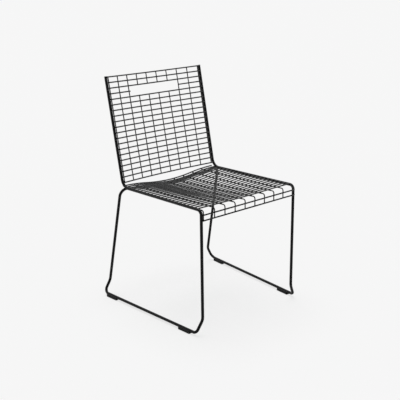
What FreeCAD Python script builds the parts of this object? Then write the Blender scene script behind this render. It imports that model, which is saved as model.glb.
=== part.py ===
# Wire mesh dining chair on a sled base, all dimensions in millimetres
# The chair faces the negative Y side, left is the negative X side, Z is up from the floor

import math
import os

import FreeCAD
import Part

os.makedirs("parts", exist_ok=True)

vector = FreeCAD.Vector

# Stock
rodDiameter = 10.5
crossWireDiameter = 5.0
longWireDiameter = 4.0
weldGap = 0.05

# Side frame: corner points of the bent rod before rounding
frameHalfWidth = 220.5
seatCornerBack = 160.64
seatCornerHeight = 427.1
uprightLean = 87.7
uprightTopHeight = 816.8
frontCornerForward = 261.36
frontCornerHeight = 441.6
frontLegFootInset = 1.6
frontLegFootForward = 267.66
frontLegFootHeight = 56.0
runnerFrontFlare = 21.6
runnerFrontForward = 260.46
runnerRearFlare = 53.3
runnerRearBack = 226.54
rearLegFootFlare = 27.8
rearLegFootBack = 223.84
rearLegFootHeight = 56.5
rearLegTopFlare = 17.2
rearLegTopAhead = 6.9

# Side frame: bend radii on the rod's centre line
seatCornerBend = 34.0
frontCornerBend = 16.0
frontFlareBend = 40.0
runnerFrontBend = 16.0
runnerRearBend = 20.0
rearFlareBend = 30.0
rearLegTopBend = 27.0

# Rear stretcher between the legs' bent-in tops, bowed back and rising at its ends
stretcherEndInset = 24.5
stretcherBow = 8.0
stretcherRise = 2.0
stretcherGap = 0.25

# Mesh columns, shared by the backrest and the seat
columnCount = 10
edgeWireInset = 9.45

# Backrest mesh
backRowCount = 20
backTopMargin = 3.3
backBottomMargin = 16.15
backBow = 23.5
slotRow = 3
slotFirstColumn = 3
slotLastColumn = 6
slotNub = 2.0

# Seat mesh: heights at the front, the middle and the rear of the rail
seatRowCount = 22
seatFrontMargin = 16.6
seatRearOverhang = 6.6
seatRimLift = (-1.0, -3.15, -2.3)
seatDish = (1.1, 11.35, 15.95)
seatFrontBend = 7.5
longWireStart = 10.0

# Apron at the front of the seat
apronSetForward = 2.4
apronUpperDrop = 14.8
apronLowerDrop = 33.7

# Plastic glides
glideLength = 56.0
glideWall = 1.9
glideFloorThickness = 5.4
glideWrapAboveAxis = 1.5
glideFrontOffset = 27.0
glideRearOffset = 19.0
glideCornerRadius = 3.0
glideEdgeRadius = 1.0

# Fineness of the curved wires, as shares of their run
curveShares = (0.0, 0.25, 0.5, 0.75, 1.0)
slopeStep = 0.5
risePower = 16
straightLimit = math.radians(89.995)

# Values that follow from the ones above
rodRadius = rodDiameter / 2
crossWireRadius = crossWireDiameter / 2
longWireRadius = longWireDiameter / 2
crossing = crossWireRadius + longWireRadius + weldGap
meshHalfWidth = frameHalfWidth - edgeWireInset
columnPitch = 2 * meshHalfWidth / (columnCount - 1)
seatEdgeHalfWidth = frameHalfWidth - rodRadius - weldGap - longWireRadius
runnerHeight = glideFloorThickness + rodRadius
glideWidth = rodDiameter + 2 * glideWall

uprightTop = vector(frameHalfWidth, seatCornerBack + uprightLean, uprightTopHeight)
seatCorner = vector(frameHalfWidth, seatCornerBack, seatCornerHeight)
frontCorner = vector(frameHalfWidth, -frontCornerForward, frontCornerHeight)
frontLegFoot = vector(frameHalfWidth - frontLegFootInset, -frontLegFootForward, frontLegFootHeight)
runnerFront = vector(frameHalfWidth + runnerFrontFlare, -runnerFrontForward, runnerHeight)
runnerRear = vector(frameHalfWidth + runnerRearFlare, runnerRearBack, runnerHeight)
rearLegFoot = vector(frameHalfWidth + rearLegFootFlare, rearLegFootBack, rearLegFootHeight)


def tangentArc(start, corner, end):
    # arc that touches both legs of an even-legged corner
    back = (start - corner).normalize()
    ahead = (end - corner).normalize()
    half = back.getAngle(ahead) / 2
    if half > straightLimit:
        return Part.LineSegment(start, end).toShape()
    middle = (back + ahead).normalize()
    bend = (start - corner).Length * math.tan(half)
    crown = corner + middle * (bend / math.sin(half) - bend)
    return Part.Arc(start, crown, end).toShape()


def roundedPath(corners, bends):
    # straight runs joined by tangent arcs
    edges = []
    start = corners[0]
    for index, bend in enumerate(bends):
        corner = corners[index + 1]
        back = (corners[index] - corner).normalize()
        ahead = (corners[index + 2] - corner).normalize()
        reach = bend / math.tan(back.getAngle(ahead) / 2)
        edges.append(Part.LineSegment(start, corner + back * reach).toShape())
        edges.append(tangentArc(corner + back * reach, corner, corner + ahead * reach))
        start = corner + ahead * reach
    edges.append(Part.LineSegment(start, corners[-1]).toShape())
    return edges


def curvedPath(points, headings):
    # two tangent arcs from each point to the next
    edges = []
    for index in range(len(points) - 1):
        start = points[index]
        end = points[index + 1]
        leave = headings[index]
        arrive = headings[index + 1]
        span = end - start
        bend = 2 * (1 - leave.dot(arrive))
        pull = span.dot(leave + arrive)
        reach = span.dot(span) / (pull + math.sqrt(pull ** 2 + bend * span.dot(span)))
        first = start + leave * reach
        second = end - arrive * reach
        joint = (first + second) / 2
        edges.append(tangentArc(start, first, joint))
        edges.append(tangentArc(joint, second, end))
    return edges


def sweepRod(edges, radius):
    # round bar along the edges, first edge first
    path = Part.Wire(edges)
    first = edges[0]
    start = first.valueAt(first.FirstParameter)
    heading = first.tangentAt(first.FirstParameter)
    disc = Part.Face(Part.Wire(Part.Circle(start, heading, radius).toShape()))
    return path.makePipe(disc)


def straightRod(start, end, radius):
    return Part.makeCylinder(radius, (end - start).Length, start, end - start)


def mirrored(shape):
    return shape.mirror(vector(0, 0, 0), vector(1, 0, 0))


def save(node, solids):
    shape = solids[0] if len(solids) == 1 else Part.makeCompound(solids)
    shape.exportStep("parts/" + node + ".step")


def savePair(node, solid):
    save(node + "_left", [mirrored(solid)])
    save(node + "_right", [solid])


def bowRadius(halfWidth, sagitta):
    return (halfWidth ** 2 + sagitta ** 2) / (2 * sagitta)


def arcEndAngle(radius, centreDistance):
    # angle at which a wire's side touches a rod of the side frame
    wireSide = radius + crossWireRadius
    rodDistance = math.hypot(frameHalfWidth, centreDistance)
    rodAngle = math.atan2(frameHalfWidth, centreDistance)
    clear = rodRadius + weldGap
    square = rodDistance ** 2 + wireSide ** 2 - clear ** 2
    return rodAngle - math.acos(square / (2 * rodDistance * wireSide))


def columnX(column):
    return (column - (columnCount - 1) / 2) * columnPitch


# Seat surface through the long wires' centre lines, measured from the rail's centre line
railLength = (seatCorner - frontCorner).Length
railDirection = (seatCorner - frontCorner).normalize()
railUp = vector(0, -railDirection.z, railDirection.y)
seatHalfWidth = frameHalfWidth - rodRadius - weldGap
seatRowLast = railLength + seatRearOverhang
seatRowPitch = (seatRowLast - seatFrontMargin) / (seatRowCount - 1)
longWireEnd = seatRowLast + crossWireRadius


def seatBlend(along, values):
    # smooth curve through a value at the front, the middle and the rear
    share = along / railLength
    front = values[0] * (1 - share) * (1 - 2 * share)
    middle = values[1] * 4 * share * (1 - share)
    return front + middle + values[2] * share * (2 * share - 1)


def seatLift(x, along):
    out = abs(x) / seatHalfWidth
    depth = 1 - 2 * out ** 2 if out < 0.5 else 2 * (1 - out) ** 2
    return seatBlend(along, seatRimLift) - seatBlend(along, seatDish) * depth


def seatPoint(x, along, above):
    # point at a distance above the surface
    slopeX = (seatLift(x + slopeStep, along) - seatLift(x - slopeStep, along)) / (2 * slopeStep)
    ahead = seatLift(x, along + slopeStep) - seatLift(x, along - slopeStep)
    slopeAlong = ahead / (2 * slopeStep)
    lift = seatLift(x, along) + above * math.sqrt(1 + slopeX ** 2 + slopeAlong ** 2)
    foot = frontCorner + railDirection * along + railUp * lift
    return vector(x, foot.y, foot.z)


def crossPath(along, above, reach, bow=0, rise=0):
    # path across the seat between plus and minus reach
    def place(x):
        share = x / reach
        back = bow * (1 - share ** 2) ** 2
        return seatPoint(x, along + back, above + rise * share ** risePower)

    stations = [share * reach for share in curveShares]
    positions = [-x for x in reversed(stations[1:])] + stations
    points = [place(x) for x in positions]
    headings = [(place(x + slopeStep) - place(x - slopeStep)).normalize() for x in positions]
    return curvedPath(points, headings)


def alongPath(x, end):
    # path of a long wire from the front bend to the rear
    stations = [longWireStart + share * (end - longWireStart) for share in curveShares]
    points = [seatPoint(x, along, 0) for along in stations]
    headings = []
    for along in stations:
        ahead = seatPoint(x, along + slopeStep, 0)
        headings.append((ahead - seatPoint(x, along - slopeStep, 0)).normalize())
    return curvedPath(points, headings)


# Rear stretcher under the long wires
stretcherHalfWidth = frameHalfWidth - stretcherEndInset
stretcherAlong = (seatCornerBack - rearLegTopAhead + frontCornerForward) / railDirection.y
stretcherBelow = longWireRadius + stretcherGap + rodRadius
stretcherPath = crossPath(
    stretcherAlong, -stretcherBelow, stretcherHalfWidth, stretcherBow, stretcherRise
)
stretcherLast = stretcherPath[-1]
stretcherEnd = stretcherLast.valueAt(stretcherLast.LastParameter)
stretcherHeading = stretcherLast.tangentAt(stretcherLast.LastParameter)
save("seat_rear_stretcher", [sweepRod(stretcherPath, rodRadius)])

# Side frames
legTopRun = (frameHalfWidth + rearLegTopFlare - stretcherEnd.x) / stretcherHeading.x
legTopCorner = stretcherEnd + stretcherHeading * legTopRun
frameCorners = [
    uprightTop,
    seatCorner,
    frontCorner,
    frontLegFoot,
    runnerFront,
    runnerRear,
    rearLegFoot,
    legTopCorner,
    stretcherEnd,
]
frameBends = [
    seatCornerBend,
    frontCornerBend,
    frontFlareBend,
    runnerFrontBend,
    runnerRearBend,
    rearFlareBend,
    rearLegTopBend,
]
frameEdges = roundedPath(frameCorners, frameBends)
sideFrame = sweepRod(frameEdges, rodRadius)
savePair("side_frame", sideFrame)

# Backrest: rows in front, columns behind, both on arcs about one line
backDirection = (seatCorner - uprightTop).normalize()
backNormal = vector(0, -backDirection.z, backDirection.y)
backLength = (seatCorner - uprightTop).Length
backRowPitch = (backLength - backTopMargin - backBottomMargin) / (backRowCount - 1)
columnArcRadius = bowRadius(meshHalfWidth, backBow)
rowArcRadius = columnArcRadius - crossing
backCentre = backBow - columnArcRadius
cornerAngle = (uprightTop - seatCorner).getAngle(frontCorner - seatCorner)
cornerBendStart = backLength - seatCornerBend / math.tan(cornerAngle / 2)


def backPoint(x, down, behind):
    foot = uprightTop + backDirection * down + backNormal * behind
    return vector(x, foot.y, foot.z)


def rodForward(down):
    # how far the rod has bent forward at the lower side of a row
    past = max(0, down + crossWireRadius - cornerBendStart)
    return seatCornerBend - math.sqrt(seatCornerBend ** 2 - past ** 2)


def backArc(down, startAngle, endAngle):
    middleAngle = (startAngle + endAngle) / 2
    points = []
    for angle in (startAngle, middleAngle, endAngle):
        x = rowArcRadius * math.sin(angle)
        behind = backCentre + rowArcRadius * math.cos(angle)
        points.append(backPoint(x, down, behind))
    return [Part.Arc(points[0], points[1], points[2]).toShape()]


def backColumn(column, downStart, downEnd):
    x = columnX(column)
    behind = backCentre + math.sqrt(columnArcRadius ** 2 - x ** 2)
    start = backPoint(x, downStart, behind)
    return straightRod(start, backPoint(x, downEnd, behind), longWireRadius)


def backRowDown(row):
    return backTopMargin + row * backRowPitch


backTop = backRowDown(0) - crossWireRadius
backBottom = backRowDown(backRowCount - 1) + crossWireRadius
nubAngle = math.asin((-columnX(slotFirstColumn - 1) - slotNub) / rowArcRadius)
for row in range(backRowCount):
    down = backRowDown(row)
    endAngle = arcEndAngle(rowArcRadius, -backCentre - rodForward(down))
    if row == slotRow:
        stub = sweepRod(backArc(down, nubAngle, endAngle), crossWireRadius)
        solids = [mirrored(stub), stub]
    else:
        solids = [sweepRod(backArc(down, -endAngle, endAngle), crossWireRadius)]
    save("back_cross_wire_%02d" % (row + 1), solids)

savePair("back_edge_wire", backColumn(columnCount - 1, backTop, backBottom))
for column in range(1, columnCount - 1):
    if slotFirstColumn <= column <= slotLastColumn:
        slotTop = backRowDown(slotRow - 1) + crossWireRadius
        slotBottom = backRowDown(slotRow + 1) - crossWireRadius
        solids = [
            backColumn(column, backTop, slotTop),
            backColumn(column, slotBottom, backBottom),
        ]
    else:
        solids = [backColumn(column, backTop, backBottom)]
    save("back_vertical_wire_%d" % column, solids)

# Seat long wires: dished run, bend over the front and a short drop behind the apron
legDirection = (frontLegFoot - frontCorner).normalize()
legSlope = legDirection.y / legDirection.z
apronUpperHeight = frontCornerHeight - apronUpperDrop
apronLowerHeight = frontCornerHeight - apronLowerDrop
dropBottom = apronLowerHeight - crossWireRadius


def dropPoint(x, height):
    forward = apronSetForward - (height - frontCorner.z) * legSlope
    return vector(x, frontCorner.y - forward, height)


def longWire(x, end):
    run = alongPath(x, end)
    start = run[0].valueAt(run[0].FirstParameter)
    heading = run[0].tangentAt(run[0].FirstParameter)
    foot = dropPoint(x, dropBottom)
    slope = heading.z / heading.y
    rise = start.z - foot.z + slope * (foot.y - start.y)
    height = rise / (1 - slope * legSlope)
    corner = vector(x, foot.y + legSlope * height, foot.z + height)
    drop = roundedPath([foot, corner, start], [seatFrontBend])
    return sweepRod(drop + run, longWireRadius)


edgeWireEnd = stretcherAlong - rodRadius - weldGap
savePair("seat_edge_wire", longWire(seatEdgeHalfWidth, edgeWireEnd))
for column in range(1, columnCount - 1):
    save("seat_long_wire_%d" % column, [longWire(columnX(column), longWireEnd)])

# Seat cross wires, welded on top of the long wires
for pair in range(seatRowCount // 2):
    rows = []
    for row in (2 * pair, 2 * pair + 1):
        path = crossPath(seatFrontMargin + row * seatRowPitch, crossing, seatHalfWidth)
        rows.append(sweepRod(path, crossWireRadius))
    save("seat_cross_wire_pair_%02d" % (pair + 1), rows)


# Apron wires in front of the drops, their ends against the front legs
def apronWire(height):
    legShift = (height - frontCorner.z) / legDirection.z
    leg = frontCorner + legDirection * legShift
    forward = leg.y - dropPoint(0, height).y + crossing
    side = forward - crossWireRadius
    reach = leg.x - math.sqrt((rodRadius + weldGap) ** 2 - side ** 2)
    start = vector(-reach, leg.y - forward, height)
    return straightRod(start, vector(reach, leg.y - forward, height), crossWireRadius)


save("apron_wire_upper", [apronWire(apronUpperHeight)])
save("apron_wire_lower", [apronWire(apronLowerHeight)])

# Glides clipped under the runners
runnerDirection = (runnerRear - runnerFront).normalize()
runnerAngle = math.degrees(math.atan2(runnerDirection.y, runnerDirection.x))


def glide(offset):
    # block around the runner's lower half, open above
    top = runnerHeight + glideWrapAboveAxis
    block = Part.makeBox(glideLength, glideWidth, top, vector(0, -glideWidth / 2, 0))
    upright = [edge for edge in block.Edges if abs(edge.tangentAt(0).z) > 0.5]
    block = block.makeFillet(glideCornerRadius, upright)
    lower = [edge for edge in block.Edges if edge.BoundBox.ZMax < weldGap]
    block = block.makeFillet(glideEdgeRadius, lower)
    barStart = vector(-glideLength, 0, runnerHeight)
    bar = Part.makeCylinder(rodRadius + weldGap, 3 * glideLength, barStart, vector(1, 0, 0))
    block = block.cut(bar)
    block.rotate(vector(0, 0, 0), vector(0, 0, 1), runnerAngle)
    foot = runnerFront + runnerDirection * offset
    block.translate(vector(foot.x, foot.y, 0))
    return block.Solids[0]


runnerLength = (runnerRear - runnerFront).Length
for side, name in ((-1, "left"), (1, "right")):
    for place, offset in (
        ("front", glideFrontOffset),
        ("rear", runnerLength - glideRearOffset - glideLength),
    ):
        solid = glide(offset)
        save("glide_%s_%s" % (place, name), [solid if side > 0 else mirrored(solid)])
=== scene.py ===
import math
import random

import bmesh
import bpy
from mathutils import Matrix, Vector


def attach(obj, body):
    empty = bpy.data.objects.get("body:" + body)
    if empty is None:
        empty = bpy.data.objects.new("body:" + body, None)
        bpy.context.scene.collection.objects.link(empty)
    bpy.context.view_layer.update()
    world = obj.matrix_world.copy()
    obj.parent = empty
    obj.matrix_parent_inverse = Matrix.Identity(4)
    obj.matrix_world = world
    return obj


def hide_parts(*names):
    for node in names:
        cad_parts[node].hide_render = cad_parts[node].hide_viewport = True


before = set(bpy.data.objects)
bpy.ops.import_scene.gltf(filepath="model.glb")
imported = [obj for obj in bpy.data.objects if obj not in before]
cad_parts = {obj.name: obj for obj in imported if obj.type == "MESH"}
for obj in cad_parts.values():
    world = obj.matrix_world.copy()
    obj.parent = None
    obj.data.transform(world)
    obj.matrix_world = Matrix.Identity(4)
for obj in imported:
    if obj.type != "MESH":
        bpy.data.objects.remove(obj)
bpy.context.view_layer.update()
print("frame loaded")

mm = 0.001
mergeDistance = 0.001 * mm
chance = random.Random(7)  # the only source of chance in the scene


# materials

def linearColour(code):
    # sRGB hex to the linear values that the shader takes
    linear = []
    for place in (1, 3, 5):
        part = int(code[place:place + 2], 16) / 255
        linear.append(part / 12.92 if part <= 0.04045 else ((part + 0.055) / 1.055) ** 2.4)
    return linear + [1]


def addNode(tree, kind, settings=None, links=None):
    # settings go to the node's own fields, links to its inputs as values or as other sockets
    node = tree.nodes.new(kind)
    for name, value in (settings or {}).items():
        setattr(node, name, value)
    for name, value in (links or {}).items():
        if isinstance(value, bpy.types.NodeSocket):
            tree.links.new(value, node.inputs[name])
        else:
            node.inputs[name].default_value = value
    return node


def addNoise(tree, place, size, detail, strength):
    # size in mm, detail as the number of finer layers, strength as that of each next layer
    return addNode(tree, "ShaderNodeTexNoise", {}, {
        "Vector": place, "Scale": 1 / (size * mm), "Detail": detail, "Roughness": strength})


def newMaterial(name):
    material = bpy.data.materials.new(name)
    material.use_nodes = True
    material.node_tree.nodes.clear()
    return material, material.node_tree


# Polyester powder coat on steel: sprayed as dust and baked, so it flows into a low orange peel
# with a fine grain on top. It looks like a soft, slightly cloudy semi-matt black that reflects
# little straight on and much at a glance; on the rods and long wires its straight-on reflection is
# cut lower still, as painted shade. Sitting polishes what faces up, and the floor scuffs
# the runners to a dull grey.
powderCoat = {
    "colour": "#060607",
    "cloud": "#0d0d0e",
    "scuffed": "#3a3a3c",
    "ior": 1.5,
    "straightOn": 0.16,  # share of the reflection that is left straight on; kept low here as painted shade
    "roughness": (0.26, 0.4),
    "polish": 0.07,  # what rubbing takes off the roughness
    "polishFacing": (0.3, 0.9),  # how far up a face looks where rubbing starts and is full
    "peel": {"size": 2.2, "detail": 1, "strength": 0.4},
    "peelHeight": 0.01,  # mm
    "grain": {"size": 0.35, "detail": 2, "strength": 0.6},  # drawn coarser than real
    "grainHeight": 0.002,  # mm
    "clouding": {"size": 38, "detail": 3, "strength": 0.55},
    "scuffs": {"size": 3.5, "detail": 4, "strength": 0.65},
    "scuffSpots": (0.52, 0.62),  # where the scuff pattern starts and is full
    "scuffHeights": (12, 3.6),  # mm above the floor where scuffs start and are full
}


def powderCoatMaterial(name, look):
    material, tree = newMaterial(name)
    coordinates = addNode(tree, "ShaderNodeTexCoord")
    place = coordinates.outputs["Object"]
    peel = addNoise(tree, place, **look["peel"])
    grain = addNoise(tree, place, **look["grain"])
    cloud = addNoise(tree, place, **look["clouding"])
    scuff = addNoise(tree, place, **look["scuffs"])
    height = addNode(tree, "ShaderNodeSeparateXYZ", {}, {"Vector": place})
    start, full = look["scuffHeights"]
    low = addNode(tree, "ShaderNodeMapRange", {}, {
        "Value": height.outputs["Z"], "From Min": start * mm, "From Max": full * mm})
    start, full = look["scuffSpots"]
    spots = addNode(tree, "ShaderNodeMapRange", {}, {
        "Value": scuff.outputs["Fac"], "From Min": start, "From Max": full})
    scuffed = addNode(tree, "ShaderNodeMath", {"operation": "MULTIPLY"}, {
        0: low.outputs["Result"], 1: spots.outputs["Result"]})
    clouded = addNode(tree, "ShaderNodeMix", {"data_type": "RGBA"}, {
        "Factor": cloud.outputs["Fac"], 6: linearColour(look["colour"]), 7: linearColour(look["cloud"])})
    colour = addNode(tree, "ShaderNodeMix", {"data_type": "RGBA"}, {
        "Factor": scuffed.outputs["Value"], 6: clouded.outputs[2], 7: linearColour(look["scuffed"])})
    upward = addNode(tree, "ShaderNodeSeparateXYZ", {}, {"Vector": coordinates.outputs["Normal"]})
    start, full = look["polishFacing"]
    rubbed = addNode(tree, "ShaderNodeMapRange", {}, {
        "Value": upward.outputs["Z"], "From Min": start, "From Max": full,
        "To Min": 0.0, "To Max": look["polish"]})
    gloss = addNode(tree, "ShaderNodeMapRange", {}, {
        "Value": grain.outputs["Fac"], "To Min": look["roughness"][0], "To Max": look["roughness"][1]})
    roughness = addNode(tree, "ShaderNodeMath", {"operation": "SUBTRACT"}, {
        0: gloss.outputs["Result"], 1: rubbed.outputs["Result"]})
    peelBump = addNode(tree, "ShaderNodeBump", {}, {
        "Height": peel.outputs["Fac"], "Strength": 1.0, "Distance": look["peelHeight"] * mm})
    grainBump = addNode(tree, "ShaderNodeBump", {}, {
        "Height": grain.outputs["Fac"], "Strength": 1.0, "Distance": look["grainHeight"] * mm,
        "Normal": peelBump.outputs["Normal"]})
    coat = addNode(tree, "ShaderNodeBsdfPrincipled", {}, {
        "Base Color": colour.outputs[2], "Roughness": roughness.outputs["Value"], "IOR": look["ior"],
        "Specular Tint": [look["straightOn"]] * 3 + [1], "Normal": grainBump.outputs["Normal"]})
    addNode(tree, "ShaderNodeOutputMaterial", {}, {"Surface": coat.outputs["BSDF"]})
    return material


# Moulded polypropylene: a fine spark-eroded texture from the mould, dull black, a little greyer
# than the coat and without its peel.
mouldedGlide = {
    "colour": "#080809",
    "pale": "#121213",
    "straightOn": 0.3,
    "ior": 1.49,
    "roughness": (0.5, 0.68),
    "textureSize": 0.4,  # mm
    "textureHeight": 0.03,  # mm
    "textureStrength": 0.6,
    "scuffs": {"size": 6, "detail": 4, "strength": 0.6},
}


def mouldedMaterial(name, look):
    material, tree = newMaterial(name)
    place = addNode(tree, "ShaderNodeTexCoord").outputs["Object"]
    texture = addNode(tree, "ShaderNodeTexVoronoi", {}, {
        "Vector": place, "Scale": 1 / (look["textureSize"] * mm)})
    scuff = addNoise(tree, place, **look["scuffs"])
    colour = addNode(tree, "ShaderNodeMix", {"data_type": "RGBA"}, {
        "Factor": scuff.outputs["Fac"], 6: linearColour(look["colour"]), 7: linearColour(look["pale"])})
    gloss = addNode(tree, "ShaderNodeMapRange", {}, {
        "Value": scuff.outputs["Fac"], "To Min": look["roughness"][0], "To Max": look["roughness"][1]})
    bump = addNode(tree, "ShaderNodeBump", {}, {
        "Height": texture.outputs["Distance"], "Strength": look["textureStrength"],
        "Distance": look["textureHeight"] * mm})
    plastic = addNode(tree, "ShaderNodeBsdfPrincipled", {}, {
        "Base Color": colour.outputs[2], "Roughness": gloss.outputs["Result"], "IOR": look["ior"],
        "Specular Tint": [look["straightOn"]] * 3 + [1], "Normal": bump.outputs["Normal"]})
    addNode(tree, "ShaderNodeOutputMaterial", {}, {"Surface": plastic.outputs["BSDF"]})
    return material


# one coat covers the whole chair, in a lit and a shaded copy: on the cross wires it is drawn with all
# of its straight-on reflection, which lays a pale line along the tops of the seat rows, a judged share;
# the shaded copy with its cut reflection is painted shade
litCrossWireCoat = {**powderCoat, "straightOn": 1.0, "roughness": (0.3, 0.42)}

# rods, long wires, apron wires and welds take the shaded copy: painted shade
rodCoat = powderCoatMaterial("black powder-coated rod", powderCoat)
wireCoat = powderCoatMaterial("black powder-coated wire", litCrossWireCoat)
longCoat = powderCoatMaterial("black powder-coated long wire", powderCoat)
glidePlastic = mouldedMaterial("moulded polypropylene", mouldedGlide)
print("materials made")


# rods and wires: a round section carried along a path

def point(x, y, z):
    return Vector((x, y, z)) * mm


def roundedPath(corners, bends, turnStep):
    # straight runs joined by tangent arcs, the arcs as short chords
    path = [corners[0]]
    for before, corner, after, bend in zip(corners, corners[1:], corners[2:], bends):
        back = (before - corner).normalized()
        ahead = (after - corner).normalized()
        half = back.angle(ahead) / 2
        middle = (back + ahead).normalized()
        centre = corner + middle * (bend * mm / math.sin(half))
        first = corner + back * (bend * mm / math.tan(half)) - centre
        last = corner + ahead * (bend * mm / math.tan(half)) - centre
        turn = first.angle(last)
        count = max(2, round(turn / turnStep))
        axis = first.cross(last).normalized()
        for step in range(count + 1):
            path.append(centre + Matrix.Rotation(turn * step / count, 3, axis) @ first)
    path.append(corners[-1])
    return path


# the coat rounds each cut end a little: lengths and sizes there, as shares of the radius
cutEnd = {"ease": 0.16, "middle": 0.35, "endSize": 0.84, "middleSize": 0.95}


def easedEnds(path, ease):
    # extra points close to each end
    inward = (path[1] - path[0]).normalized() * ease
    outward = (path[-2] - path[-1]).normalized() * ease
    first = [path[0], path[0] + inward * cutEnd["middle"], path[0] + inward]
    last = [path[-1] + outward, path[-1] + outward * cutEnd["middle"], path[-1]]
    return first + path[1:-1] + last


def roundBar(name, paths, radius, rings, material, nodes=()):
    # one piece from one or more paths, made as a curve with a round bevel
    curve = bpy.data.curves.new(name, "CURVE")
    curve.dimensions = "3D"
    curve.bevel_depth = radius * mm
    curve.bevel_resolution = rings
    curve.use_fill_caps = True
    curve.twist_mode = "MINIMUM"
    for path in paths:
        path = easedEnds(path, cutEnd["ease"] * radius * mm)
        spline = curve.splines.new("POLY")
        spline.points.add(len(path) - 1)
        for place, vertex in zip(path, spline.points):
            vertex.co = (*place, 1)
        for place in (0, -1):
            spline.points[place].radius = cutEnd["endSize"]
        for place in (1, -2):
            spline.points[place].radius = cutEnd["middleSize"]
    shaper = bpy.data.objects.new(name + "_path", curve)
    bpy.context.scene.collection.objects.link(shaper)
    bpy.context.view_layer.update()
    evaluated = shaper.evaluated_get(bpy.context.evaluated_depsgraph_get())
    mesh = bpy.data.meshes.new_from_object(evaluated)
    bpy.data.objects.remove(shaper)
    form = bmesh.new()
    form.from_mesh(mesh)
    bmesh.ops.remove_doubles(form, verts=form.verts, dist=mergeDistance)
    bmesh.ops.recalc_face_normals(form, faces=form.faces)
    form.to_mesh(mesh)
    form.free()
    return finishPiece(name, mesh, material, nodes)


def finishPiece(name, mesh, material, nodes=(), sharpAngle=38):
    mesh.name = name
    mesh.materials.clear()
    mesh.materials.append(material)
    mesh.polygons.foreach_set("use_smooth", [True] * len(mesh.polygons))
    mesh.set_sharp_from_angle(angle=math.radians(sharpAngle))
    piece = bpy.data.objects.new(name, mesh)
    bpy.context.scene.collection.objects.link(piece)
    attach(piece, "root")
    if nodes:
        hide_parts(*nodes)
    return piece


def mirrorPath(path):
    return [Vector((-place.x, place.y, place.z)) for place in path]


# side frames: one bent rod on each side

frameRod = {
    "radius": 5.25,
    "halfWidth": 220.5,
    "uprightTop": (248.34, 816.8),  # y and z
    "seatCorner": (160.64, 427.1),
    "frontCorner": (-261.36, 441.6),
    "frontLegFoot": (218.9, -267.66, 56),
    "runnerFront": (242.1, -260.46, 10.65),
    "runnerRear": (273.8, 226.54, 10.65),
    "rearLegFoot": (248.3, 223.84, 56.5),
    "rearLegTop": (237.7, 153.74),  # x and y
    "bends": (34, 16, 40, 16, 20, 30, 27),
    "turnStep": math.radians(4),
    "rings": 10,
}
crossWire = {"radius": 2.5, "rings": 6}
longWire = {"radius": 2, "rings": 5, "inset": 9.45, "columns": 10}
weldGap = 0.05
slopeStep = 0.5  # mm to each side where a slope is measured

crossing = crossWire["radius"] + longWire["radius"] + weldGap
columnHalf = frameRod["halfWidth"] - longWire["inset"]
columnPlaces = [columnHalf * (2 * index / (longWire["columns"] - 1) - 1)
                for index in range(longWire["columns"])]
clear = frameRod["radius"] + weldGap

uprightTop = point(frameRod["halfWidth"], *frameRod["uprightTop"])
seatCorner = point(frameRod["halfWidth"], *frameRod["seatCorner"])
frontCorner = point(frameRod["halfWidth"], *frameRod["frontCorner"])

# seat mesh: heights are measured from the rail's centre line
seatMesh = {
    "rows": 22,
    "firstRow": 16.6,
    "overhang": 6.6,
    "rim": (-1.0, -3.15, -2.3),
    "dish": (1.1, 11.35, 15.95),
    "runStart": 10,
    "frontBend": 7.5,
    "bendStep": math.radians(7),
    "runStep": 8,
    "rowStep": 9,
}
railLength = (seatCorner - frontCorner).length / mm
railDirection = (seatCorner - frontCorner).normalized()
railUp = Vector((0, -railDirection.z, railDirection.y))
seatHalf = frameRod["halfWidth"] - clear
rowPitch = (railLength + seatMesh["overhang"] - seatMesh["firstRow"]) / (seatMesh["rows"] - 1)
rowPlaces = [seatMesh["firstRow"] + index * rowPitch for index in range(seatMesh["rows"])]
runEnd = rowPlaces[-1] + crossWire["radius"]


def seatBlend(along, values):
    # smooth curve through a value at the front, the middle and the rear
    share = along / railLength
    front = values[0] * (1 - share) * (1 - 2 * share)
    middle = values[1] * 4 * share * (1 - share)
    return front + middle + values[2] * share * (2 * share - 1)


def seatLift(x, along):
    out = abs(x) / seatHalf
    depth = 1 - 2 * out ** 2 if out < 0.5 else 2 * (1 - out) ** 2
    return seatBlend(along, seatMesh["rim"]) - seatBlend(along, seatMesh["dish"]) * depth


def seatPoint(x, along, above=0):
    # a place over the seat's surface, which runs through the long wires' centre lines
    across = seatLift(x + slopeStep, along) - seatLift(x - slopeStep, along)
    ahead = seatLift(x, along + slopeStep) - seatLift(x, along - slopeStep)
    slopeX = across / (2 * slopeStep)
    slopeAlong = ahead / (2 * slopeStep)
    lift = seatLift(x, along) + above * math.sqrt(1 + slopeX ** 2 + slopeAlong ** 2)
    foot = frontCorner + (railDirection * along + railUp * lift) * mm
    return Vector((x * mm, foot.y, foot.z))


def spread(start, end, step):
    count = max(2, round(abs(end - start) / step))
    return [start + (end - start) * index / count for index in range(count + 1)]


def seatRowPath(along, above, reach):
    return [seatPoint(x, along, above) for x in spread(-reach, reach, seatMesh["rowStep"])]


# rear stretcher: a rod under the long wires, butt-welded to the legs' bent-in tops
stretcher = {"halfWidth": 196, "bow": 8, "rise": 2, "risePower": 16, "gap": 0.25, "step": 7}
stretcherAlong = (frameRod["rearLegTop"][1] - frameRod["frontCorner"][0]) / railDirection.y
stretcherBelow = longWire["radius"] + stretcher["gap"] + frameRod["radius"]


def stretcherPlace(x):
    share = x / stretcher["halfWidth"]
    along = stretcherAlong + stretcher["bow"] * (1 - share ** 2) ** 2
    return along, stretcher["rise"] * share ** stretcher["risePower"] - stretcherBelow


def stretcherPoint(x):
    return seatPoint(x, *stretcherPlace(x))


stretcherPath = [stretcherPoint(x)
                 for x in spread(-stretcher["halfWidth"], stretcher["halfWidth"], stretcher["step"])]
roundBar("rear_stretcher", [stretcherPath], frameRod["radius"], frameRod["rings"], rodCoat,
         nodes=["seat_rear_stretcher"])

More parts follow.
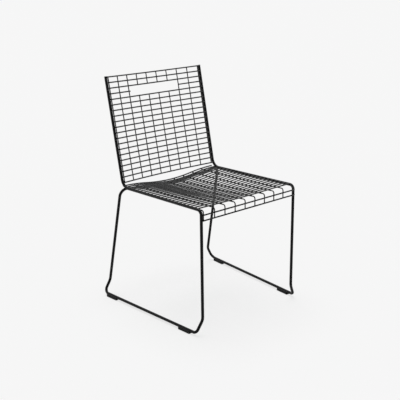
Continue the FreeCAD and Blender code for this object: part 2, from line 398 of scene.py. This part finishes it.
stretcherEnd = stretcherPath[-1]
stretcherHeading = (stretcherPoint(stretcher["halfWidth"] + slopeStep)
                    - stretcherPoint(stretcher["halfWidth"] - slopeStep)).normalized()
legTopRun = (frameRod["rearLegTop"][0] * mm - stretcherEnd.x) / stretcherHeading.x
frameCorners = [
    uprightTop,
    seatCorner,
    frontCorner,
    point(*frameRod["frontLegFoot"]),
    point(*frameRod["runnerFront"]),
    point(*frameRod["runnerRear"]),
    point(*frameRod["rearLegFoot"]),
    stretcherEnd + stretcherHeading * legTopRun,
    stretcherEnd,
]
framePath = roundedPath(frameCorners, frameRod["bends"], frameRod["turnStep"])
roundBar("side_rod_right", [framePath], frameRod["radius"], frameRod["rings"], rodCoat,
         nodes=["side_frame_right"])
roundBar("side_rod_left", [mirrorPath(framePath)], frameRod["radius"], frameRod["rings"], rodCoat,
         nodes=["side_frame_left"])
print("side frames made")


# backrest mesh: rows in front, columns behind, both bowed about one line
backMesh = {
    "rows": 20,
    "topMargin": 3.3,
    "bottomMargin": 16.15,
    "bow": 23.5,
    "slotRow": 3,
    "slotColumns": (3, 6),
    "nub": 2,
    "step": 9,
}
backDirection = (seatCorner - uprightTop).normalized()
backNormal = Vector((0, -backDirection.z, backDirection.y))
backLength = (seatCorner - uprightTop).length / mm
backPitch = (backLength - backMesh["topMargin"] - backMesh["bottomMargin"]) / (backMesh["rows"] - 1)
columnBow = (columnHalf ** 2 + backMesh["bow"] ** 2) / (2 * backMesh["bow"])
rowBow = columnBow - crossing
bowCentre = backMesh["bow"] - columnBow
cornerBend = frameRod["bends"][0]
cornerHalf = (uprightTop - seatCorner).angle(frontCorner - seatCorner) / 2
cornerBendStart = backLength - cornerBend / math.tan(cornerHalf)


def backPoint(x, down, behind):
    foot = uprightTop + (backDirection * down + backNormal * behind) * mm
    return Vector((x * mm, foot.y, foot.z))


def backRowPath(down, start, end):
    path = []
    for angle in spread(start, end, backMesh["step"] / rowBow):
        path.append(backPoint(rowBow * math.sin(angle), down, bowCentre + rowBow * math.cos(angle)))
    return path


def columnBehind(x):
    return bowCentre + math.sqrt(columnBow ** 2 - x ** 2)


def backColumnPath(x, start, end):
    return [backPoint(x, start, columnBehind(x)), backPoint(x, end, columnBehind(x))]


def backRowDown(row):
    return backMesh["topMargin"] + row * backPitch


def rowEndAngle(down):
    # a row ends where its side meets the upright, which bends forward near the seat
    past = max(0, down + crossWire["radius"] - cornerBendStart)
    forward = cornerBend - math.sqrt(cornerBend ** 2 - past ** 2)
    wireSide = rowBow + crossWire["radius"]
    rodBehind = -bowCentre - forward
    rodDistance = math.hypot(frameRod["halfWidth"], rodBehind)
    square = rodDistance ** 2 + wireSide ** 2 - clear ** 2
    rodAngle = math.atan2(frameRod["halfWidth"], rodBehind)
    return rodAngle - math.acos(square / (2 * rodDistance * wireSide))


slotFirst, slotLast = backMesh["slotColumns"]
nubAngle = math.asin((-columnPlaces[slotFirst - 1] - backMesh["nub"]) / rowBow)
rowEndSpots = []
for row in range(backMesh["rows"]):
    endAngle = rowEndAngle(backRowDown(row))
    if row == backMesh["slotRow"]:
        stub = backRowPath(backRowDown(row), nubAngle, endAngle)
        paths = [mirrorPath(stub), stub]
    else:
        paths = [backRowPath(backRowDown(row), -endAngle, endAngle)]
    rowEndSpots += [paths[0][0] if len(paths) == 1 else paths[0][-1], paths[-1][-1]]
    number = "%02d" % (row + 1)
    roundBar("back_row_" + number, paths, crossWire["radius"], crossWire["rings"], wireCoat,
             nodes=["back_cross_wire_" + number])

backTop = backRowDown(0) - crossWire["radius"]
backBottom = backRowDown(backMesh["rows"] - 1) + crossWire["radius"]
slotTop = backRowDown(backMesh["slotRow"] - 1) + crossWire["radius"]
slotBottom = backRowDown(backMesh["slotRow"] + 1) - crossWire["radius"]
for column, x in enumerate(columnPlaces):
    if slotFirst <= column <= slotLast:
        paths = [backColumnPath(x, backTop, slotTop), backColumnPath(x, slotBottom, backBottom)]
    else:
        paths = [backColumnPath(x, backTop, backBottom)]
    if column == 0:
        node = "back_edge_wire_left"
    elif column == longWire["columns"] - 1:
        node = "back_edge_wire_right"
    else:
        node = "back_vertical_wire_%d" % column
    roundBar("back_column_%d" % column, paths, longWire["radius"], longWire["rings"], longCoat,
             nodes=[node])
print("backrest mesh made")


# seat mesh: long wires that turn down at the front, rows on top of them, two apron wires
apron = {"forward": 2.4, "upper": 426.8, "lower": 407.9, "step": 30}
legDirection = (frameCorners[3] - frontCorner).normalized()
legSlope = legDirection.y / legDirection.z
seatEdge = seatHalf - longWire["radius"]
seatColumns = [-seatEdge] + columnPlaces[1:-1] + [seatEdge]


def dropPoint(x, height):
    y = frontCorner.y - apron["forward"] * mm + (height * mm - frontCorner.z) * legSlope
    return Vector((x * mm, y, height * mm))


def longWirePath(x):
    end = stretcherAlong - clear if abs(x) > columnHalf else runEnd
    run = [seatPoint(x, along) for along in spread(seatMesh["runStart"], end, seatMesh["runStep"])]
    start = run[0]
    ahead = seatPoint(x, seatMesh["runStart"] + slopeStep)
    heading = ahead - seatPoint(x, seatMesh["runStart"] - slopeStep)
    slope = heading.z / heading.y
    foot = dropPoint(x, apron["lower"] - crossWire["radius"])
    rise = start.z - foot.z + slope * (foot.y - start.y)
    height = rise / (1 - slope * legSlope)
    corner = Vector((foot.x, foot.y + legSlope * height, foot.z + height))
    bend = roundedPath([foot, corner, start], [seatMesh["frontBend"]], seatMesh["bendStep"])
    return bend + run[1:]


for column, x in enumerate(seatColumns):
    if column == 0:
        node = "seat_edge_wire_left"
    elif column == longWire["columns"] - 1:
        node = "seat_edge_wire_right"
    else:
        node = "seat_long_wire_%d" % column
    roundBar("seat_column_%d" % column, [longWirePath(x)], longWire["radius"], longWire["rings"],
             longCoat, nodes=[node])

for pair in range(seatMesh["rows"] // 2):
    paths = [seatRowPath(rowPlaces[2 * pair + place], crossing, seatHalf) for place in (0, 1)]
    rowEndSpots += [path[end] for path in paths for end in (0, -1)]
    number = "%02d" % (pair + 1)
    roundBar("seat_rows_" + number, paths, crossWire["radius"], crossWire["rings"], wireCoat,
             nodes=["seat_cross_wire_pair_" + number])

for place in ("upper", "lower"):
    height = apron[place]
    leg = frontCorner + legDirection * ((height * mm - frontCorner.z) / legDirection.z)
    forward = leg.y - dropPoint(0, height).y + crossing * mm
    side = forward - crossWire["radius"] * mm
    reach = leg.x - math.sqrt((clear * mm) ** 2 - side ** 2)
    path = [Vector((x, leg.y - forward, height * mm))
            for x in spread(-reach, reach, apron["step"] * mm)]
    rowEndSpots += [path[0], path[-1]]
    roundBar("apron_" + place, [path], crossWire["radius"], crossWire["rings"], longCoat,
             nodes=["apron_wire_" + place])
print("seat mesh made")


# welds: each crossing has a small squeezed nugget between its wires, each row end a lump
# against the rod, and each butt joint of the stretcher a round bead
welds = {
    "nugget": (2.9, 2.9, 1.25),  # mm, half its widths along the wires and from wire to wire
    "endNugget": (2.2, 3.1, 2.7),
    "sides": 8,
    "rings": 5,
    "unevenness": 0.14,
    "bead": 1.1,
    "beadProud": 0.35,
    "beadSides": 10,
    "beadSteps": 40,
    "sharpAngle": 180,
}


def nugget(form, place, facing, size):
    # a low blob whose short axis points from one wire to the other
    uneven = [1 + chance.uniform(-welds["unevenness"], welds["unevenness"]) for axis in range(3)]
    turn = facing.to_track_quat("Z", "X").to_matrix().to_4x4()
    shape = Matrix.Diagonal((*[side * mm * share for side, share in zip(size, uneven)], 1))
    bmesh.ops.create_uvsphere(form, u_segments=welds["sides"], v_segments=welds["rings"], radius=1,
                              matrix=Matrix.Translation(place) @ turn @ shape)


def finishWelds(name, form, material):
    mesh = bpy.data.meshes.new(name)
    bmesh.ops.recalc_face_normals(form, faces=form.faces)
    form.to_mesh(mesh)
    form.free()
    return finishPiece(name, mesh, material, sharpAngle=welds["sharpAngle"])


touch = longWire["radius"] + weldGap / 2
touchShare = (columnBow - touch) / columnBow

form = bmesh.new()
for row in range(backMesh["rows"]):
    for column, x in enumerate(columnPlaces):
        if row == backMesh["slotRow"] and slotFirst <= column <= slotLast:
            continue
        behind = bowCentre + (columnBehind(x) - bowCentre) * touchShare
        place = backPoint(x * touchShare, backRowDown(row), behind)
        facing = backPoint(x, 0, columnBehind(x)) - backPoint(0, 0, bowCentre)
        nugget(form, place, facing, welds["nugget"])
finishWelds("back_mesh_welds", form, longCoat)

form = bmesh.new()
for along in rowPlaces:
    for x in seatColumns:
        if abs(x) > columnHalf and along > stretcherAlong - clear:
            continue
        place = seatPoint(x, along, touch)
        nugget(form, place, seatPoint(x, along, touch + 1) - place, welds["nugget"])
for x in seatColumns[1:-1]:
    along = stretcherPlace(x)[0]
    place = seatPoint(x, along, -longWire["radius"])
    nugget(form, place, seatPoint(x, along) - place, welds["nugget"])
finishWelds("seat_mesh_welds", form, longCoat)

form = bmesh.new()
for height in (apron["upper"], apron["lower"]):
    for x in seatColumns:
        place = dropPoint(x, height) - Vector((0, touch * mm, 0))
        nugget(form, place, Vector((0, 1, 0)), welds["nugget"])
finishWelds("apron_welds", form, longCoat)

form = bmesh.new()
for place in rowEndSpots:
    nugget(form, place, Vector((0, 0, 1)), welds["endNugget"])
finishWelds("row_end_welds", form, longCoat)

form = bmesh.new()
for side in (-1, 1):
    place = Vector((side * stretcherEnd.x, stretcherEnd.y, stretcherEnd.z))
    heading = Vector((side * stretcherHeading.x, stretcherHeading.y, stretcherHeading.z))
    arm = heading.orthogonal().normalized()
    centre = place + arm * (frameRod["radius"] + welds["beadProud"] - welds["bead"]) * mm
    around = heading.cross(arm).to_track_quat("Z", "X").to_matrix().to_4x4()
    ring = bmesh.ops.create_circle(form, segments=welds["beadSides"], radius=welds["bead"] * mm,
                                   matrix=Matrix.Translation(centre) @ around)
    edges = list({edge for vertex in ring["verts"] for edge in vertex.link_edges})
    bmesh.ops.spin(form, geom=ring["verts"] + edges, cent=place, axis=heading, dvec=(0, 0, 0),
                   angle=math.tau, steps=welds["beadSteps"], use_merge=True)
finishWelds("stretcher_butt_welds", form, rodCoat)
print("welds made")


# glides: moulded saddles that clip round the runners from below
glide = {
    "length": 56,
    "wall": 1.9,
    "floor": 5.4,
    "lip": 1.5,  # how far the saddle reaches above the rod's axis
    "frontOffset": 27,
    "rearOffset": 19,
    "cornerRadius": 3,
    "cornerSides": 5,
    "edgeRadius": 1,
    "edgeSides": 3,
    "lipRadius": 0.5,
    "lipSides": 2,
    "sharpAngle": 30,
    "hair": 0.01,  # how near to a level an edge counts as lying on it
    "sideFacing": 0.99,
    "panelMargin": 2.2,
    "panelDepth": 0.4,
    "channelSides": 48,
}


def roundEdges(form, edges, radius, segments):
    bmesh.ops.bevel(form, geom=edges, offset=radius * mm, offset_type="OFFSET", segments=segments,
                    profile=0.5, affect="EDGES", clamp_overlap=True, material=-1)


def meshFrom(name, form):
    mesh = bpy.data.meshes.new(name)
    form.to_mesh(mesh)
    form.free()
    return mesh


def glideBlock():
    # rounded block with a shallow panel moulded into each long side
    width = 2 * (frameRod["radius"] + glide["wall"])
    height = glide["floor"] + frameRod["radius"] + glide["lip"]
    form = bmesh.new()
    bmesh.ops.create_cube(form, size=1, matrix=Matrix.Translation((0, 0, height / 2 * mm))
                          @ Matrix.Diagonal((glide["length"] * mm, width * mm, height * mm, 1)))
    hair = glide["hair"] * mm
    upright = [edge for edge in form.edges if abs(edge.verts[0].co.z - edge.verts[1].co.z) > hair]
    roundEdges(form, upright, glide["cornerRadius"], glide["cornerSides"])
    lower = [edge for edge in form.edges if max(vertex.co.z for vertex in edge.verts) < hair]
    roundEdges(form, lower, glide["edgeRadius"], glide["edgeSides"])
    upper = [edge for edge in form.edges
             if min(vertex.co.z for vertex in edge.verts) > height * mm - hair]
    roundEdges(form, upper, glide["lipRadius"], glide["lipSides"])
    form.normal_update()
    sides = [face for face in form.faces if abs(face.normal.y) > glide["sideFacing"]]
    for face in sorted(sides, key=lambda face: -face.calc_area())[:2]:
        bmesh.ops.inset_region(form, faces=[face], thickness=glide["panelMargin"] * mm,
                               use_even_offset=True)
        bmesh.ops.inset_region(form, faces=[face], thickness=glide["panelDepth"] * mm,
                               depth=-glide["panelDepth"] * mm, use_even_offset=True)
    return meshFrom("glide_block", form)


def channelBar():
    # what the block is hollowed with: a round bar a hair thicker than the runner
    height = glide["floor"] + frameRod["radius"]
    turn = Matrix.Rotation(math.pi / 2, 4, "Y")
    form = bmesh.new()
    bmesh.ops.create_cone(form, cap_ends=True, segments=glide["channelSides"], radius1=clear * mm,
                          radius2=clear * mm, depth=2 * glide["length"] * mm,
                          matrix=Matrix.Translation((0, 0, height * mm)) @ turn)
    return meshFrom("channel_bar", form)


def hollowedGlide():
    block = bpy.data.objects.new("glide_block", glideBlock())
    bar = bpy.data.objects.new("channel_bar", channelBar())
    for helper in (block, bar):
        bpy.context.scene.collection.objects.link(helper)
    cut = block.modifiers.new("channel", "BOOLEAN")
    cut.operation = "DIFFERENCE"
    cut.solver = "EXACT"
    cut.object = bar
    bpy.context.view_layer.update()
    evaluated = block.evaluated_get(bpy.context.evaluated_depsgraph_get())
    mesh = bpy.data.meshes.new_from_object(evaluated)
    for helper in (block, bar):
        bpy.data.objects.remove(helper)
    return mesh


glideMesh = hollowedGlide()
runnerFront, runnerRear = frameCorners[4], frameCorners[5]
runnerLength = (runnerRear - runnerFront).length / mm
runnerDirection = (runnerRear - runnerFront).normalized()
offsets = {"front": glide["frontOffset"] + glide["length"] / 2,
           "rear": runnerLength - glide["rearOffset"] - glide["length"] / 2}
for side, sign in (("left", -1), ("right", 1)):
    for place, offset in offsets.items():
        foot = runnerFront + runnerDirection * offset * mm
        turn = math.atan2(runnerDirection.y, sign * runnerDirection.x)
        seat = Matrix.Translation((sign * foot.x, foot.y, 0)) @ Matrix.Rotation(turn, 4, "Z")
        mesh = glideMesh.copy()
        mesh.transform(seat)
        finishPiece("glide_saddle_%s_%s" % (place, side), mesh, glidePlastic,
                    nodes=["glide_%s_%s" % (place, side)], sharpAngle=glide["sharpAngle"])
bpy.data.meshes.remove(glideMesh)
print("glides made")


# stage: a pale floor, soft light from above, the camera at the photograph's angle

studio = {
    "floor": "#f5f5f5",
    "floorRoughness": 0.9,
    "floorSize": 60,  # m
    "backdrop": "#f7f7f7",
    "wash": 0.78,  # share of the floor that the camera sees at the backdrop's own tone
    "sunPower": 2.3,
    "sunAngle": 40,
    "sunFrom": (0.1, 0.25, 1),
    "skyLevel": 0.28,
}


def makeStage():
    form = bmesh.new()
    bmesh.ops.create_grid(form, x_segments=1, y_segments=1, size=studio["floorSize"] / 2)
    mesh = bpy.data.meshes.new("floor")
    form.to_mesh(mesh)
    form.free()
    floor = bpy.data.objects.new("floor", mesh)
    bpy.context.scene.collection.objects.link(floor)
    material, tree = newMaterial("matt paper floor")
    paper = addNode(tree, "ShaderNodeBsdfPrincipled", {}, {
        "Base Color": linearColour(studio["floor"]), "Roughness": studio["floorRoughness"],
        "Specular IOR Level": 0.0})
    plain = addNode(tree, "ShaderNodeEmission", {}, {
        "Color": linearColour(studio["backdrop"]), "Strength": 1.0})
    washed = addNode(tree, "ShaderNodeMixShader", {}, {
        0: studio["wash"], 1: paper.outputs["BSDF"], 2: plain.outputs["Emission"]})
    ray = addNode(tree, "ShaderNodeLightPath")
    seen = addNode(tree, "ShaderNodeMixShader", {}, {
        0: ray.outputs["Is Camera Ray"], 1: paper.outputs["BSDF"], 2: washed.outputs["Shader"]})
    addNode(tree, "ShaderNodeOutputMaterial", {}, {"Surface": seen.outputs["Shader"]})
    mesh.materials.append(material)

    sun = bpy.data.lights.new("overhead softbox", "SUN")
    sun.energy = studio["sunPower"]
    sun.angle = math.radians(studio["sunAngle"])
    lamp = bpy.data.objects.new("overhead softbox", sun)
    lamp.rotation_mode = "QUATERNION"
    lamp.rotation_quaternion = (-Vector(studio["sunFrom"])).to_track_quat("-Z", "Y")
    bpy.context.scene.collection.objects.link(lamp)

    world = bpy.data.worlds.new("studio")
    world.use_nodes = True
    tree = world.node_tree
    tree.nodes.clear()
    sky = addNode(tree, "ShaderNodeBackground", {}, {
        "Color": (1, 1, 1, 1), "Strength": studio["skyLevel"]})
    plain = addNode(tree, "ShaderNodeBackground", {}, {
        "Color": linearColour(studio["backdrop"]), "Strength": 1.0})
    ray = addNode(tree, "ShaderNodeLightPath")
    direct = addNode(tree, "ShaderNodeMath", {"operation": "MAXIMUM"}, {
        0: ray.outputs["Is Camera Ray"], 1: ray.outputs["Is Glossy Ray"]})
    seen = addNode(tree, "ShaderNodeMixShader", {}, {
        0: direct.outputs["Value"], 1: sky.outputs["Background"], 2: plain.outputs["Background"]})
    addNode(tree, "ShaderNodeOutputWorld", {}, {"Surface": seen.outputs["Shader"]})
    bpy.context.scene.world = world


def makeCamera():
    # the photograph's viewpoint, as a direction and a distance from a point on the chair
    view = {
        "azimuth": -41.59,
        "elevation": 17.48,
        "distance": 2943.8,
        "target": (-4.29, -12.02, 374.0),
        "focal": 807.67,  # in pixels of the 400 wide image
        "imageWidth": 400,
        "sensor": 36,
        "clip": (0.05, 200),  # m
    }
    camera = bpy.data.cameras.new("photo camera")
    camera.sensor_width = view["sensor"]
    camera.lens = view["focal"] * view["sensor"] / view["imageWidth"]
    camera.clip_start, camera.clip_end = view["clip"]
    holder = bpy.data.objects.new("photo camera", camera)
    azimuth = math.radians(view["azimuth"])
    elevation = math.radians(view["elevation"])
    back = Vector((math.sin(azimuth) * math.cos(elevation),
                   -math.cos(azimuth) * math.cos(elevation),
                   math.sin(elevation)))
    holder.location = point(*view["target"]) + back * view["distance"] * mm
    holder.rotation_mode = "QUATERNION"
    holder.rotation_quaternion = (-back).to_track_quat("-Z", "Y")
    bpy.context.scene.collection.objects.link(holder)
    bpy.context.scene.camera = holder


makeStage()
makeCamera()
bpy.context.scene.view_settings.view_transform = "Standard"
print("stage made")
